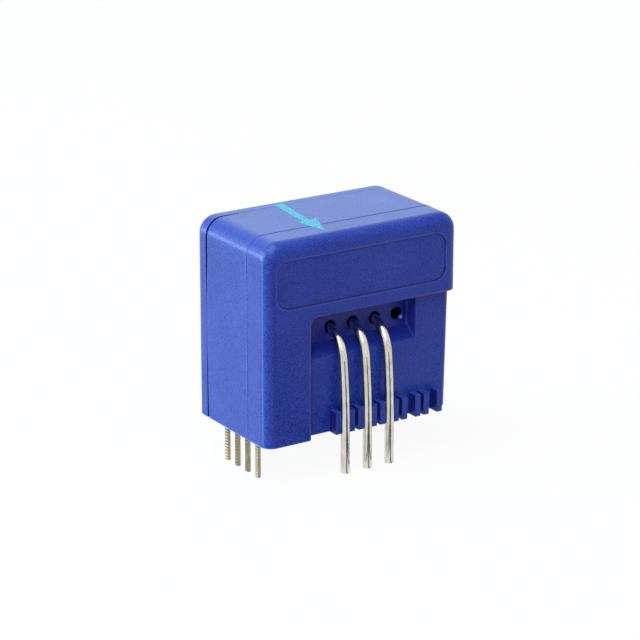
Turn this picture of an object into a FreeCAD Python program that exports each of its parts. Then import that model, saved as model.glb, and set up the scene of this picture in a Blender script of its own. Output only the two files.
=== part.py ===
import FreeCAD, Part
import Sketcher
import math
import os
import re

# A current sensor for a circuit board: a moulded case and its rear cover, three bent
# conductors through the window of the core, four secondary pins, and the parts inside.
# Lengths are in millimetres. Bodies are drawn from the case's front left bottom corner:
# x runs to the right, depth from the front face to the back, z up from the seating plane.
# Their placements put the origin at the middle of the seating plane, with the front at -Y.

sizes = {
    "body_width": 21.7,
    "body_depth": 12.8,
    "body_height": 20.0,
    "wall_thickness": 0.8,
    "edge_land": 0.05,
    "crown_radius": 1.8,
    "side_taper": 0.3,
    "column_width": 5.13,
    "hood_rise": 2.12,
    "hood_corner": 0.75,
    "hood_lip_radius": 0.45,
    "inner_corner": 0.85,
    "recess_clearance": 0.23,
    "pocket_margin": 1.19,
    "lip_rise": 0.79,
    "sill_rise": 1.1,
    "bore_clearance": 0.15,
    "bore_chamfer": 0.12,
    "bore_sink": 0.07,
    "bore_pitch": 2.54,
    "bore_count": 4,
    "bar_margin": 1.3,
    "channel_clearance": 0.025,
    "tooth_width": 0.6,
    "comb_height": 2.2,
    "channel_count": 5,
    "joint_gap": 0.04,
    "seam_gap": 0.22,
    "seam_head_rise": 1.6,
    "seam_full_drop": 4.0,
    "seam_foot_drop": 1.0,
    "seam_turn": 2.4,
    "seam_end": 4.4,
    "lip_thickness": 0.6,
    "lip_height": 1.1,
    "lip_clearance": 0.06,
    "bar_gap": 0.12,
    "parting_depth": 3.46,
    "ridge_height": 0.03,
    "ridge_width": 0.12,
    "panel_left": 1.2,
    "panel_right_gap": 1.4,
    "panel_foot": 1.4,
    "panel_head": 1.8,
    "panel_radius": 1.3,
    "panel_sink": 0.12,
    "tool_margin": 0.3,
    "wire_radius": 0.45,
    "wire_lift": 0.08,
    "conductor_count": 3,
    "leg_inset": 0.05,
    "bend_radius": 3.2,
    "bend_entry": 0.98,
    "leg_lean": 0.42,
    "leg_drop": 4.05,
    "pin_across": 0.3,
    "pin_along": 0.5,
    "pin_offset": 1.115,
    "pin_pitch": 1.85,
    "pin_shift": 0.2,
    "pin_count": 4,
    "pin_rise": 3.2,
    "pin_chamfer": 0.06,
    "slot_clearance": 0.06,
    "board_thickness": 0.8,
    "board_end_gap": 0.3,
    "board_edge_gap": 0.1,
    "board_floor_gap": 0.5,
    "parts_clearance": 0.1,
    "guide_width": 0.35,
    "guide_reach": 0.45,
    "guide_clearance": 0.05,
    "limb_width": 1.9,
    "core_balance": 0.8365,
    "core_clearance": 0.3,
    "coil_clearance": 0.16,
    "bobbin_fit": 0.1,
    "bobbin_wall": 0.35,
    "flange_thickness": 0.5,
    "flange_lip": 0.1,
    "winding_build": 0.9,
    "winding_clearance": 0.3,
    "terminal_width": 0.4,
    "terminal_inset": 0.45,
    "terminal_stub": 0.25,
    "terminal_fit": 0.05,
    "hall_gap": 1.1,
    "hall_thickness": 0.8,
    "hall_overhang": 0.1,
    "hall_width": 2.4,
    "lead_width": 0.3,
    "lead_thickness": 0.15,
    "lead_pitch": 0.65,
    "lead_count": 4,
    "lead_fit": 0.1,
    "chip_length": 2.9,
    "chip_width": 1.6,
    "chip_thickness": 1.0,
    "chip_standoff": 0.1,
    "chip_lead_reach": 0.6,
    "chip_lead_width": 0.28,
    "chip_lead_thickness": 0.13,
    "chip_lead_pitch": 0.65,
    "chip_lead_count": 4,
    "capacitor_length": 2.0,
    "capacitor_width": 1.25,
    "capacitor_thickness": 0.9,
    "capacitor_pitch": 1.8,
    "measuring_length": 3.2,
    "measuring_width": 1.6,
    "measuring_thickness": 0.55,
    "measuring_rise": 2.13,
    "gain_length": 1.6,
    "gain_width": 0.8,
    "gain_thickness": 0.45,
    "gain_gap": 0.35,
    "end_cap_proud": 0.03,
}

# Places and sizes that several pieces share, worked out from the ones above.
places = {
    "mid_depth": "body_depth / 2",
    "foot_right": "body_width - side_taper",
    "recess_depth": "leg_inset + leg_lean + wire_radius + recess_clearance",
    "face_radius": "recess_depth - edge_land",
    "flank_radius": "wall_thickness - edge_land",
    "cover_depth": "recess_depth + wall_thickness",
    "case_depth": "body_depth - cover_depth - joint_gap",
    "pocket_depth": "bend_inset - bend_entry",
    "pocket_back": "pocket_depth + wall_thickness",
    "board_left": "pin_offset + pin_across / 2",
    "board_right": "board_left + board_thickness",
    "board_base": "wall_thickness + board_floor_gap",
    "board_top": "body_height - wall_thickness - board_end_gap",
    "board_front": "wall_thickness + board_edge_gap",
    "bore_height": "body_height / 2 - bore_sink",
    "bore_radius": "wire_radius + bore_clearance",
    "channel_width": "2 * (wire_radius + channel_clearance)",
    "bore_span": "(bore_count - 1) * bore_pitch",
    "core_width": "bore_span + 2 * (bar_margin + core_clearance + limb_width)",
    "core_room": "foot_right - wall_thickness - board_right - core_width",
    "core_left": "board_right + core_balance * core_room",
    "core_right": "core_left + core_width",
    "window_left": "core_left + limb_width",
    "window_right": "core_right - limb_width",
    "bar_left": "window_left + core_clearance",
    "bar_right": "window_right - core_clearance",
    "first_bore": "bar_left + bar_margin",
    "last_bore": "bar_right - bar_margin",
    "hood_base": "bore_height + hood_rise",
    "taper_top": "hood_base + hood_corner",
    "pocket_right": "last_bore + pocket_margin",
    "pocket_lip": "wire_height - bend_radius + lip_rise",
    "pocket_sill": "pocket_lip + sill_rise",
    "seam_low": "bore_height + seam_head_rise",
    "seam_high": "body_height - seam_full_drop",
    "seam_foot": "bore_height - seam_foot_drop",
    "panel_base": "hood_base + panel_foot",
    "panel_top": "body_height - panel_head",
    "wire_height": "bore_height + wire_lift",
    "bend_inset": "leg_inset + leg_lean + bend_radius",
    "bend_base": "wire_height - bend_radius",
    "ease_radius": "((leg_lean + bend_base * bend_base / leg_lean) / 2 + bend_radius)",
    "bobbin_build": "bobbin_fit + bobbin_wall",
    "coil_build": "bobbin_build + winding_build",
    "core_depth": "body_depth - 2 * (pocket_back + coil_clearance + flange_lip + coil_build)",
    "tube_half_height": "limb_width / 2 + bobbin_build",
    "tube_half_depth": "core_depth / 2 + bobbin_build",
    "coil_half_height": "limb_width / 2 + coil_build",
    "coil_half_depth": "core_depth / 2 + coil_build",
    "window_half_height": "bar_margin + winding_clearance + coil_build",
    "limb_offset": "window_half_height + limb_width / 2",
    "terminal_reach": "coil_half_depth + flange_lip - terminal_inset",
    "terminal_drop": "coil_half_height + flange_lip - 2 * terminal_inset",
    "terminal_start": "board_left - terminal_stub",
    "hall_height": "bore_height + window_half_height - hall_gap / 2",
    "hall_length": "limb_width + hall_overhang",
    "lead_span": "lead_pitch * (lead_count - 1)",
    "parts_inset": "max(core_depth; lead_span + lead_width) / 2 + parts_clearance",
    "chip_depth": "mid_depth - parts_inset - chip_lead_reach - chip_width / 2",
    "capacitor_depth": "mid_depth + parts_inset + end_cap_proud + capacitor_length / 2",
    "gain_offset": "chip_length / 2 + gain_gap + gain_width / 2",
    "first_pin": "mid_depth - pin_shift - pin_pitch * (pin_count - 1) / 2",
}
# How a sketch numbers the ends and the centre of an edge. The last, negative, number is both
# its own origin and its level axis.
START, END, CENTRE = range(1, 4)
ORIGIN = X_AXIS = -START

TOLERANCE = 1e-4

document = FreeCAD.newDocument("CurrentSensor")
sheet = document.addObject("Spreadsheet::Sheet", "Sizes")
for row, (alias, value) in enumerate(sizes.items(), start=1):
    sheet.set(f"A{row}", alias)
    sheet.set(f"B{row}", str(value))
    sheet.setAlias(f"B{row}", alias)
document.recompute()


def bound(text):
    """The same expression with each place worked out and each size pointed at its cell."""
    def spelt(word):
        name = word.group(0)
        return f"({bound(places[name])})" if name in places else f"Sizes.{name}"
    return re.sub(r"\b[a-z]+(?:_[a-z]+)+\b", spelt, text)


def number(text):
    """The expression's value now."""
    return float(sheet.evalExpression(bound(text)))


def bind(item, prop, text):
    item.setExpression(prop, bound(text))


class Side:
    """A face of the sensor to work inwards from: the front, or the back as its mirror image."""

    def __init__(self, back):
        self.back = back

    def depth(self, text):
        """Depth from the front face of a place that lies this far in from the side's own face."""
        return f"(body_depth - ({text}))" if self.back else f"({text})"


FRONT, BACK = Side(False), Side(True)


def new_body(label, x="0", y="0", z="0"):
    """A body whose own zero is the case's front left bottom corner, moved by x, y and z."""
    body = document.addObject("PartDesign::Body", label)
    body.Label = label
    bind(body, "Placement.Base.x", f"{x} - body_width / 2")
    bind(body, "Placement.Base.y", f"{y} - body_depth / 2")
    bind(body, "Placement.Base.z", z)
    return body


def new_sketch(body, name, role, offset="0", up="0"):
    """A sketch on one of the body's origin planes, moved along that plane's normal and up."""
    sketch = body.newObject("Sketcher::SketchObject", f"{body.Label}_{name}")
    plane = next(item for item in body.Origin.OriginFeatures if item.Role == role)
    sketch.AttachmentSupport = [(plane, "")]
    sketch.MapMode = "FlatFace"
    bind(sketch, "AttachmentOffset.Base.z", offset)
    bind(sketch, "AttachmentOffset.Base.y", up)
    sketch.Visibility = False
    return sketch


def facing_sketch(body, name, side, inset="0"):
    """A sketch in the plane of the front or the back, this far in from its face."""
    return new_sketch(body, name, "XZ_Plane", f"-{side.depth(inset)}")


def fix_distance(sketch, kind, edge, end, text):
    """Tie a point of the sketch by its distance from the sketch's origin along one axis."""
    distance = Sketcher.Constraint(kind, ORIGIN, START, edge, end, number(text))
    bind(sketch, f"Constraints[{sketch.addConstraint(distance)}]", text)


def fix_point(sketch, edge, end, x, y):
    fix_distance(sketch, "DistanceX", edge, end, x)
    fix_distance(sketch, "DistanceY", edge, end, y)


def fix_radius(sketch, edge, text):
    index = sketch.addConstraint(Sketcher.Constraint("Radius", edge, number(text)))
    bind(sketch, f"Constraints[{index}]", text)


def draw_outline(sketch, corners, closed=True):
    """Lines through the corners. A corner of three values is square and rounded to its radius."""
    count = len(corners)
    spots = [FreeCAD.Vector(number(c[0]), number(c[1]), 0) for c in corners]
    arrive, leave, arcs = list(spots), list(spots), {}
    for i, corner in enumerate(corners):
        if len(corner) == 2:
            continue
        radius = number(corner[2])
        back = (spots[i - 1] - spots[i]).normalize()
        ahead = (spots[(i + 1) % count] - spots[i]).normalize()
        arrive[i] = spots[i] + back * radius
        leave[i] = spots[i] + ahead * radius
        arcs[i] = (spots[i] + (back + ahead) * radius, back + ahead, back.cross(ahead).z < 0)
    lines = {}
    for i in range(count if closed else count - 1):
        after = (i + 1) % count
        lines[i] = sketch.addGeometry(Part.LineSegment(leave[i], arrive[after]), False)
    for i, corner in enumerate(corners):
        before = lines.get((i - 1) % count) if closed or i > 0 else None
        here = lines.get(i)
        if i not in arcs:
            if before is not None and here is not None:
                sketch.addConstraint(Sketcher.Constraint("Coincident", before, END, here, START))
            edge, end = (here, START) if here is not None else (before, END)
            fix_point(sketch, edge, end, corner[0], corner[1])
            continue
        centre, lean, turns_left = arcs[i]
        first, last = (arrive[i], leave[i]) if turns_left else (leave[i], arrive[i])
        angles = [math.atan2(p.y - centre.y, p.x - centre.x) for p in (first, last)]
        circle = Part.Circle(centre, FreeCAD.Vector(0, 0, 1), number(corner[2]))
        arc = sketch.addGeometry(Part.ArcOfCircle(circle, angles[0], angles[1]), False)
        into, out = (START, END) if turns_left else (END, START)
        sketch.addConstraint(Sketcher.Constraint("Tangent", before, END, arc, into))
        sketch.addConstraint(Sketcher.Constraint("Tangent", arc, out, here, START))
        across, along = ("+" if lean.x > 0 else "-"), ("+" if lean.y > 0 else "-")
        centre_x = f"{corner[0]} {across} {corner[2]}"
        centre_y = f"{corner[1]} {along} {corner[2]}"
        fix_point(sketch, arc, CENTRE, centre_x, centre_y)
        fix_radius(sketch, arc, corner[2])
    return sketch


def draw_box(sketch, left, base, right, top, radius=None):
    """A rectangle between two corners, with rounded corners if a radius is given."""
    corners = [(left, base), (right, base), (right, top), (left, top)]
    if radius:
        corners = [corner + (radius,) for corner in corners]
    return draw_outline(sketch, corners)


def draw_circle(sketch, x, y, radius):
    centre = FreeCAD.Vector(number(x), number(y), 0)
    circle = Part.Circle(centre, FreeCAD.Vector(0, 0, 1), number(radius))
    edge = sketch.addGeometry(circle, False)
    fix_point(sketch, edge, CENTRE, x, y)
    fix_radius(sketch, edge, radius)
    return sketch


def add_feature(body, kind, name):
    return body.newObject(f"PartDesign::{kind}", f"{body.Label}_{name}")


def pad(body, sketch, name, length, reverse=False):
    feature = add_feature(body, "Pad", name)
    feature.Profile = sketch
    feature.Reversed = reverse
    bind(feature, "Length", length)
    return feature


def pocket(body, sketch, name, length=None, reverse=False):
    """A cut of this length, or through everything."""
    feature = add_feature(body, "Pocket", name)
    feature.Profile = sketch
    feature.Reversed = reverse
    if length is None:
        feature.Type = "ThroughAll"
    else:
        bind(feature, "Length", length)
    return feature


def pad_inwards(body, sketch, name, side, length):
    return pad(body, sketch, name, length, reverse=not side.back)


def cut_inwards(body, sketch, name, side, length=None):
    return pocket(body, sketch, name, length, reverse=side.back)


def row_of(body, features, sketch, axis, name, pitch, count):
    """Copies of the features at even pitch along one of the sketch's axes."""
    pattern = add_feature(body, "LinearPattern", name)
    pattern.Originals = features
    pattern.Direction = (sketch, [axis])
    bind(pattern, "Length", f"{pitch} * ({count} - 1)")
    bind(pattern, "Occurrences", count)
    body.Tip = pattern
    return pattern


def sweep_cut(body, profile, path, name):
    """Take away what the profile sweeps along a path that lies in the plane of the front."""
    feature = add_feature(body, "SubtractivePipe", name)
    feature.Profile = profile
    feature.Spine = path
    feature.Mode = "Frenet"
    return feature


def edges_where(feature, test):
    """Names of the feature's edges whose ends and middle all pass the test."""
    document.recompute()
    names = []
    for index, edge in enumerate(feature.Shape.Edges, start=1):
        spots = [edge.valueAt(edge.FirstParameter), edge.valueAt(edge.LastParameter)]
        spots.append(edge.valueAt((edge.FirstParameter + edge.LastParameter) / 2))
        if all(test(spot) for spot in spots):
            names.append(f"Edge{index}")
    return names


def soften(body, base, name, edges, size, kind="Fillet"):
    """A fillet or a chamfer of this size on the named edges."""
    feature = add_feature(body, kind, name)
    feature.Base = (base, edges)
    bind(feature, "Radius" if kind == "Fillet" else "Size", size)
    return feature


def near(value, text):
    return abs(value - number(text)) < TOLERANCE


def rounding_profile(body, name, height, side, x, radius, outward):
    """The corner left outside a quarter circle, at a height, for an upright edge at x.

    outward is "-" where the edge's left is open and "+" where its right is.
    """
    inward = "+" if outward == "-" else "-"
    sketch = new_sketch(body, name, "XY_Plane", height)
    run = f"({radius} + tool_margin / 4)"
    far_x, near_x = f"({x} {outward} tool_margin)", f"({x} {inward} {run})"
    out_y, edge_y, in_y = side.depth("-tool_margin"), side.depth("0"), side.depth(run)
    corners = [(far_x, out_y), (near_x, out_y), (near_x, edge_y), (x, edge_y, radius)]
    return draw_outline(sketch, corners + [(x, in_y), (far_x, in_y)])


def outer_form(body, side, depth):
    """The moulded outside that the case and its cover share, solid for now.

    A main block stands behind the recess, with a right side that leans in below the hood.
    A slab in front of it is the left column and the hood, whose outer edges are rounded more
    than the edges round the recess.
    """
    face = number(side.depth("0"))
    recess = number(side.depth("recess_depth"))
    block_length = f"{depth} - recess_depth"

    sketch = facing_sketch(body, "lower_outline", side, "recess_depth")
    draw_outline(sketch, [
        ("0", "0"),
        ("foot_right", "0"),
        ("body_width", "taper_top"),
        ("0", "taper_top"),
    ])
    lower = pad_inwards(body, sketch, "lower_block", side, block_length)
    flank = edges_where(lower, lambda spot: abs(spot.y - recess) < TOLERANCE
                        and spot.x > number("foot_right") - TOLERANCE)
    soften(body, lower, "flank_rounding", flank, "flank_radius")

    sketch = facing_sketch(body, "upper_outline", side, "recess_depth")
    draw_outline(sketch, [
        ("0", "taper_top"),
        ("body_width", "taper_top"),
        ("body_width", "body_height", "crown_radius"),
        ("0", "body_height", "crown_radius"),
    ])
    pad_inwards(body, sketch, "upper_block", side, block_length)

    sketch = facing_sketch(body, "hood_outline", side)
    draw_outline(sketch, [
        ("0", "0"),
        ("column_width", "0"),
        ("column_width", "hood_base", "inner_corner"),
        ("body_width", "hood_base"),
        ("body_width", "body_height", "crown_radius"),
        ("0", "body_height", "crown_radius"),
    ])
    slab = pad_inwards(body, sketch, "column_and_hood", side, "recess_depth")
    crown = number("body_height - crown_radius")
    rim = edges_where(slab, lambda spot: abs(spot.y - face) < TOLERANCE and (
        near(spot.x, "0") or near(spot.x, "body_width") or spot.z > crown - TOLERANCE))
    soften(body, slab, "face_rounding", rim, "face_radius")

    # The hood's lower right corner is rounded as it is seen from the front.
    over, aside = "(taper_top + tool_margin)", "(body_width + tool_margin)"
    short, under = "(body_width - hood_corner - tool_margin)", "(hood_base - tool_margin)"
    sketch = facing_sketch(body, "hood_corner_outline", side)
    draw_outline(sketch, [
        (aside, over),
        ("body_width", over),
        ("body_width", "hood_base", "hood_corner"),
        (short, "hood_base"),
        (short, under),
        (aside, under),
    ])
    cut_inwards(body, sketch, "hood_corner", side, "recess_depth")

    profile = rounding_profile(
        body, "lip_profile", over, side, "body_width", "hood_lip_radius", "+")
    path = facing_sketch(body, "lip_path", side)
    draw_outline(path, [
        ("body_width", over),
        ("body_width", "hood_base", "hood_corner"),
        ("column_width", "hood_base", "inner_corner"),
        ("column_width", "-tool_margin"),
    ], closed=False)
    sweep_cut(body, profile, path, "lip_rounding")


def conductor_pocket(body, side):
    """The deep pocket under the hood, with a sloping sill, where the conductors come out."""
    sketch = new_sketch(body, "pocket_section", "YZ_Plane", "column_width")
    draw_outline(sketch, [
        (side.depth("0"), "hood_base"),
        (side.depth("0"), "pocket_lip"),
        (side.depth("recess_depth"), "pocket_lip"),
        (side.depth("pocket_depth"), "pocket_sill"),
        (side.depth("pocket_depth"), "hood_base"),
    ])
    pocket(body, sketch, "pocket", "pocket_right - column_width", reverse=True)


def comb(body, side):
    """Pairs of teeth along the foot of the recess, with a channel in each pair for a leg."""
    sketch = facing_sketch(body, "teeth", side)
    tooth_starts = (
        "(first_bore - channel_width / 2 - tooth_width)", "(first_bore + channel_width / 2)")
    for left in tooth_starts:
        draw_box(sketch, left, "0", f"({left} + tooth_width)", "comb_height")
    pair = pad_inwards(body, sketch, "tooth_pair", side, "recess_depth + wall_thickness / 2")
    row_of(body, [pair], sketch, "H_Axis", "comb", "bore_pitch", "channel_count")


def bores(body, side, mouths=()):
    """Round bores for the conductors in the back of the pocket, repeated with their mouths."""
    sketch = facing_sketch(body, "bore_circle", side)
    draw_circle(sketch, "first_bore", "bore_height", "bore_radius")
    bore = cut_inwards(body, sketch, "bore", side)
    row_of(body, [*mouths, bore], sketch, "H_Axis", "bore_row", "bore_pitch", "bore_count")


def bore_mouth(body):
    """The chamfer at the mouth of the first bore, in the back of the front pocket."""
    sketch = new_sketch(body, "mouth_section", "YZ_Plane", "first_bore", up="bore_height")
    draw_outline(sketch, [
        ("pocket_depth", "0"),
        ("(pocket_depth + bore_chamfer)", "0"),
        ("(pocket_depth + bore_chamfer)", "bore_radius"),
        ("pocket_depth", "(bore_radius + bore_chamfer)"),
    ])
    cone = add_feature(body, "Groove", "bore_mouth")
    cone.Profile = sketch
    cone.ReferenceAxis = (sketch, ["H_Axis"])
    return cone


def build_case():
    """The main moulding: everything in front of the cover, hollow from behind."""
    body = new_body("main_case")
    outer_form(body, FRONT, "case_depth")

    # The hollow is cut from behind in three depths, so that the wall follows the front.
    inner_radius = "(crown_radius - wall_thickness)"
    hood_ceiling = "(body_height - wall_thickness)"
    hood_floor = "(hood_base + wall_thickness)"
    column_inside = "(column_width - wall_thickness)"
    right_inside = "(body_width - wall_thickness)"
    block_right = "(pocket_right + wall_thickness)"
    block_base = "(pocket_lip - wall_thickness)"

    sketch = new_sketch(body, "hood_hollow_outline", "XZ_Plane", "-case_depth")
    draw_outline(sketch, [
        ("wall_thickness", "wall_thickness"),
        (column_inside, "wall_thickness"),
        (column_inside, hood_floor),
        (right_inside, hood_floor),
        (right_inside, hood_ceiling, inner_radius),
        ("wall_thickness", hood_ceiling, inner_radius),
    ])
    pocket(body, sketch, "hood_hollow", "case_depth - wall_thickness", reverse=True)

    sketch = new_sketch(body, "recess_hollow_outline", "XZ_Plane", "-case_depth")
    draw_outline(sketch, [
        (column_inside, "wall_thickness"),
        ("(foot_right - wall_thickness)", "wall_thickness"),
        (right_inside, hood_floor),
        (block_right, hood_floor),
        (block_right, block_base),
        (column_inside, block_base),
    ])
    pocket(body, sketch, "recess_hollow", "case_depth - cover_depth", reverse=True)

    bar_base, bar_top = "(bore_height - bar_margin)", "(bore_height + bar_margin)"
    sketch = new_sketch(body, "pocket_hollow_outline", "XZ_Plane", "-case_depth")
    draw_box(sketch, column_inside, block_base, block_right, hood_floor)
    draw_box(sketch, "bar_left", bar_base, "bar_right", bar_top, "bore_radius")
    pocket(body, sketch, "pocket_hollow", "case_depth - pocket_back", reverse=True)

    # The bar round the bores stops short of the cover's pocket.
    sketch = new_sketch(body, "bar_end_outline", "XZ_Plane", "-case_depth")
    draw_box(sketch, "(bar_left - tool_margin)", f"({bar_base} - tool_margin)",
             "(bar_right + tool_margin)", f"({bar_top} + tool_margin)")
    pocket(body, sketch, "bar_end", "case_depth - (body_depth - pocket_back - bar_gap)",
           reverse=True)

    # The seam gapes round the upper left corner and at the left foot, and closes between them.
    ajar, past = "(case_depth - seam_gap)", "(case_depth + tool_margin)"
    over = "(body_height + tool_margin)"
    sketch = new_sketch(body, "left_seam_outline", "YZ_Plane", "-tool_margin")
    draw_outline(sketch, [
        ("case_depth", "seam_low"), (past, "seam_low"), (past, over), (ajar, over),
        (ajar, "seam_high"),
    ])
    draw_outline(sketch, [
        ("case_depth", "seam_foot"), (ajar, "0"), (ajar, "-tool_margin"),
        (past, "-tool_margin"), (past, "seam_foot"),
    ])
    pocket(body, sketch, "left_seam", "tool_margin + seam_turn", reverse=True)
    sketch = new_sketch(body, "top_seam_outline", "XY_Plane", over)
    draw_outline(sketch, [
        ("seam_turn", ajar), ("seam_end", "case_depth"), ("seam_end", past), ("seam_turn", past),
    ])
    pocket(body, sketch, "top_seam", "tool_margin + wall_thickness")

    conductor_pocket(body, FRONT)
    comb(body, FRONT)

    # The shallow field on the hood.
    sketch = facing_sketch(body, "panel_outline", FRONT)
    draw_box(sketch, "panel_left", "panel_base", "(body_width - panel_right_gap)", "panel_top",
             "panel_radius")
    cut_inwards(body, sketch, "panel", FRONT, "panel_sink")

    # The fine raised line where the mould's two halves met.
    grown_right, grown_top = "(body_width + ridge_height)", "(body_height + ridge_height)"
    grown_radius = "(crown_radius + ridge_height)"
    half_wall = "(wall_thickness / 2)"
    sunk_right, sunk_top = f"(body_width - {half_wall})", f"(body_height - {half_wall})"
    sunk_radius = f"(crown_radius - {half_wall})"
    sketch = facing_sketch(body, "ridge_outline", FRONT, "parting_depth - ridge_width / 2")
    draw_outline(sketch, [
        ("-ridge_height", "0"),
        (half_wall, "0"),
        (half_wall, sunk_top, sunk_radius),
        (sunk_right, sunk_top, sunk_radius),
        (sunk_right, "hood_base"),
        (grown_right, "hood_base"),
        (grown_right, grown_top, grown_radius),
        ("-ridge_height", grown_top, grown_radius),
    ])
    pad_inwards(body, sketch, "parting_ridge", FRONT, "ridge_width")

    # Two upright guides hold the front edge of the circuit board.
    sketch = facing_sketch(body, "guide_outline", FRONT, half_wall)
    right_guide = "(board_right + guide_clearance)"
    guide_top = "(body_height - crown_radius)"
    draw_box(sketch, half_wall, half_wall, "(board_left - guide_clearance)", guide_top)
    draw_box(sketch, right_guide, half_wall, f"({right_guide} + guide_width)", guide_top)
    pad_inwards(body, sketch, "board_guides", FRONT, f"{half_wall} + guide_reach")

    # Slots in the floor let the secondary pins out.
    slot_across = "(pin_across / 2 + slot_clearance)"
    slot_along = "(pin_along / 2 + slot_clearance)"
    sketch = new_sketch(body, "slot_outline", "XY_Plane")
    draw_box(sketch, f"(pin_offset - {slot_across})", f"(first_pin - {slot_along})",
             f"(pin_offset + {slot_across})", f"(first_pin + {slot_along})")
    slot = pocket(body, sketch, "pin_slot", "wall_thickness", reverse=True)
    row_of(body, [slot], sketch, "V_Axis", "pin_slots", "pin_pitch", "pin_count")

    bores(body, FRONT, [bore_mouth(body)])
    return body


def build_cover():
    """The rear moulding: the case's mirror image in a thin cover with a locating lip."""
    body = new_body("rear_cover")
    outer_form(body, BACK, "cover_depth")

    column_inside = "(column_width - wall_thickness)"
    right_inside = "(body_width - wall_thickness)"
    ceiling = "(body_height - wall_thickness)"
    hood_floor = "(hood_base + wall_thickness)"
    inner_radius = "(crown_radius - wall_thickness)"
    sketch = facing_sketch(body, "pocket_block_outline", BACK, "recess_depth")
    draw_box(sketch, column_inside, "(pocket_lip - wall_thickness)",
             "(pocket_right + wall_thickness)", hood_floor)
    pad_inwards(body, sketch, "pocket_block", BACK, "pocket_back - recess_depth")

    # The column and the hood are cored from inside to an even wall.
    sketch = facing_sketch(body, "core_out_outline", BACK, "cover_depth")
    draw_outline(sketch, [
        ("wall_thickness", "wall_thickness"),
        (column_inside, "wall_thickness"),
        (column_inside, hood_floor),
        (right_inside, hood_floor),
        (right_inside, ceiling, inner_radius),
        ("wall_thickness", ceiling, inner_radius),
    ])
    pocket(body, sketch, "core_out", "recess_depth")

    # A lip on three sides locates the cover in the case. It stays clear of the circuit board.
    outer_inset = "(wall_thickness + lip_clearance)"
    inner_inset = f"({outer_inset} + lip_thickness)"
    lip_start = "(board_right + guide_clearance)"
    lip_right = f"(foot_right - {outer_inset})"
    sketch = facing_sketch(body, "lip_outline", BACK, "recess_depth")
    draw_outline(sketch, [
        (lip_start, outer_inset),
        (lip_right, outer_inset),
        (lip_right, f"(body_height - {outer_inset})", inner_radius),
        (lip_start, f"(body_height - {outer_inset})"),
        (lip_start, f"(body_height - {inner_inset})"),
        (f"({lip_right} - lip_thickness)", f"(body_height - {inner_inset})"),
        (f"({lip_right} - lip_thickness)", inner_inset),
        (lip_start, inner_inset),
    ])
    pad_inwards(body, sketch, "locating_lip", BACK, "wall_thickness + joint_gap + lip_height")

    conductor_pocket(body, BACK)
    comb(body, BACK)
    bores(body, BACK)
    return body


def build_conductor(index):
    """A round conductor bent down at both ends, with a slow curve into each straight leg."""
    body = new_body(f"primary_conductor_{index + 1}", x=f"(first_bore + {index} * bore_pitch)")
    profile = new_sketch(body, "section", "XY_Plane", "-leg_drop")
    draw_circle(profile, "0", "leg_inset", "wire_radius")

    # The front half of the path. The slow curve leaves the plumb leg at the seating plane, and
    # its radius is the one that meets the tight bend after leaning in as far as it should.
    depth, drop = number("body_depth"), number("leg_drop")
    inset, height = number("leg_inset"), number("wire_height")
    slow, tight = number("ease_radius"), number("bend_radius")
    tip, foot = FreeCAD.Vector(inset, -drop, 0), FreeCAD.Vector(inset, 0, 0)
    ease = FreeCAD.Vector(inset + slow, 0, 0)
    bend = FreeCAD.Vector(number("bend_inset"), number("bend_base"), 0)
    top = FreeCAD.Vector(bend.x, height, 0)
    join = bend + (bend - ease).normalize() * tight

    path = new_sketch(body, "path", "YZ_Plane")

    def mirror(point):
        return FreeCAD.Vector(depth - point.x, point.y, 0)

    def line(first, last):
        return path.addGeometry(Part.LineSegment(first, last), False)

    def arc(centre, radius, first, last):
        angles = [math.atan2(p.y - centre.y, p.x - centre.x) for p in (first, last)]
        circle = Part.Circle(centre, FreeCAD.Vector(0, 0, 1), radius)
        return path.addGeometry(Part.ArcOfCircle(circle, angles[0], angles[1]), False)

    front_leg = line(tip, foot)
    front_ease = arc(ease, slow, join, foot)
    front_bend = arc(bend, tight, top, join)
    run = line(top, mirror(top))
    back_bend = arc(mirror(bend), tight, mirror(join), mirror(top))
    back_ease = arc(mirror(ease), slow, mirror(foot), mirror(join))
    back_leg = line(mirror(foot), mirror(tip))

    joints = [(front_leg, END, front_ease, END), (front_ease, START, front_bend, END),
              (front_bend, START, run, START), (run, END, back_bend, END),
              (back_bend, START, back_ease, END), (back_ease, START, back_leg, START)]
    for one, end, other, start in joints:
        path.addConstraint(Sketcher.Constraint("Tangent", one, end, other, start))
    path.addConstraint(Sketcher.Constraint("Vertical", front_leg))
    path.addConstraint(Sketcher.Constraint("Vertical", back_leg))
    path.addConstraint(Sketcher.Constraint("Horizontal", run))
    fix_point(path, front_leg, START, "leg_inset", "-leg_drop")
    fix_point(path, back_leg, END, "(body_depth - leg_inset)", "-leg_drop")
    path.addConstraint(Sketcher.Constraint("PointOnObject", front_leg, END, X_AXIS))
    path.addConstraint(Sketcher.Constraint("PointOnObject", back_leg, START, X_AXIS))
    for edge, radius in ((front_ease, "ease_radius"), (back_ease, "ease_radius"),
                         (front_bend, "bend_radius"), (back_bend, "bend_radius")):
        fix_radius(path, edge, radius)
    fix_distance(path, "DistanceY", run, START, "wire_height")

    wire = add_feature(body, "AdditivePipe", "wire")
    wire.Profile = profile
    wire.Spine = path
    return body


def build_pin(index):
    """A flat secondary pin that stands on the board's outer face and leaves by the floor."""
    body = new_body(f"secondary_pin_{index + 1}", x="pin_offset",
                    y=f"(first_pin + {index} * pin_pitch)")
    sketch = new_sketch(body, "section", "XY_Plane", "-leg_drop")
    draw_box(sketch, "(-pin_across / 2)", "(-pin_along / 2)", "(pin_across / 2)",
             "(pin_along / 2)")
    blade = pad(body, sketch, "blade", "leg_drop + pin_rise")
    ends = edges_where(blade, lambda spot: near(spot.z, "-leg_drop"))
    soften(body, blade, "tip", ends, "pin_chamfer", "Chamfer")
    return body


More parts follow.
